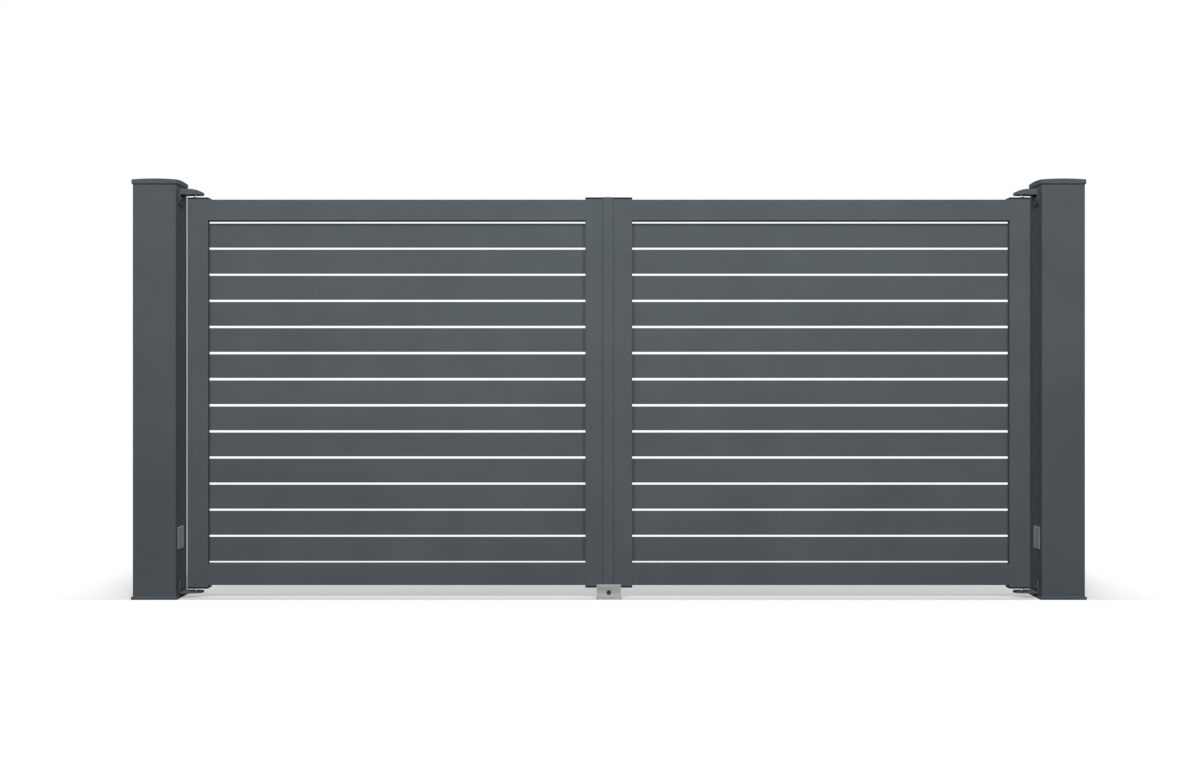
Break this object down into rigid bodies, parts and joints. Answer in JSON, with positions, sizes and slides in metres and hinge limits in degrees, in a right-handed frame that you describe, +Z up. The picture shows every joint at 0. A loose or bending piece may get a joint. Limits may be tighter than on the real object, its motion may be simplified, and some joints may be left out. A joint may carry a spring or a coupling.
{
  "type": "double leaf driveway gate",
  "caption": "Double-leaf driveway gate with horizontal slats in hollow frames, hinged between two square capped posts, with a centre floor stop.",
  "frame": {"origin": "centre of the left post's base plate underside, on the ground", "axes": "+X along the closed gate from the left post to the right post, +Y into the drive, the way the leaves open, +Z up"},
  "size_m": [3.859, 0.185, 1.706],
  "materials": {
    "post_coating": "fine textured powder coat, anthracite grey",
    "frame_coating": "fine textured powder coat, anthracite grey",
    "slat_coating": "fine textured powder coat, anthracite grey",
    "bracket_coating": "powder coated cast and plate steel",
    "pin_steel": "turned stainless steel",
    "bush_polymer": "dark bearing polymer",
    "cap_plastic": "dark grey moulded plastic",
    "photocell_housing": "grey moulded housing",
    "zinc_casting": "hot dip galvanised, dull grey",
    "bolt_steel": "blackened steel"
  },
  "bodies": {
    "posts": {"left_post": "post_coating", "right_post": "post_coating", "left_post_cap": "post_coating", "right_post_cap": "post_coating", "left_base_plate": "post_coating", "right_base_plate": "post_coating", "left_top_hinge_bracket": "bracket_coating", "left_bottom_hinge_bracket": "bracket_coating", "right_top_hinge_bracket": "bracket_coating", "right_bottom_hinge_bracket": "bracket_coating", "left_top_hinge_pin": "pin_steel", "left_bottom_hinge_pin": "pin_steel", "right_top_hinge_pin": "pin_steel", "right_bottom_hinge_pin": "pin_steel", "left_photocell": "photocell_housing", "right_photocell": "photocell_housing", "floor_stop": "zinc_casting", "floor_stop_bolt": "bolt_steel"},
    "left_leaf": {"left_hinge_stile": "frame_coating", "left_meeting_stile": "frame_coating", "left_bottom_rail": "frame_coating", "left_top_rail": "frame_coating", "left_slats": "slat_coating", "left_end_caps": "cap_plastic", "left_hinge_bushes": "bush_polymer", "cover_strip": "frame_coating"},
    "right_leaf": {"right_hinge_stile": "frame_coating", "right_meeting_stile": "frame_coating", "right_bottom_rail": "frame_coating", "right_top_rail": "frame_coating", "right_slats": "slat_coating", "right_end_caps": "cap_plastic", "right_hinge_bushes": "bush_polymer"}
  },
  "joints": [
    {"name": "left_leaf_hinge", "type": "hinge", "parent": "posts", "child": "left_leaf", "pos_m": [0.145, 0, 0.8345], "axis": [0, 0, 1], "range_deg": [0, 90]},
    {"name": "right_leaf_hinge", "type": "hinge", "parent": "posts", "child": "right_leaf", "pos_m": [3.529, 0, 0.8345], "axis": [0, 0, -1], "range_deg": [0, 90]}
  ]
}
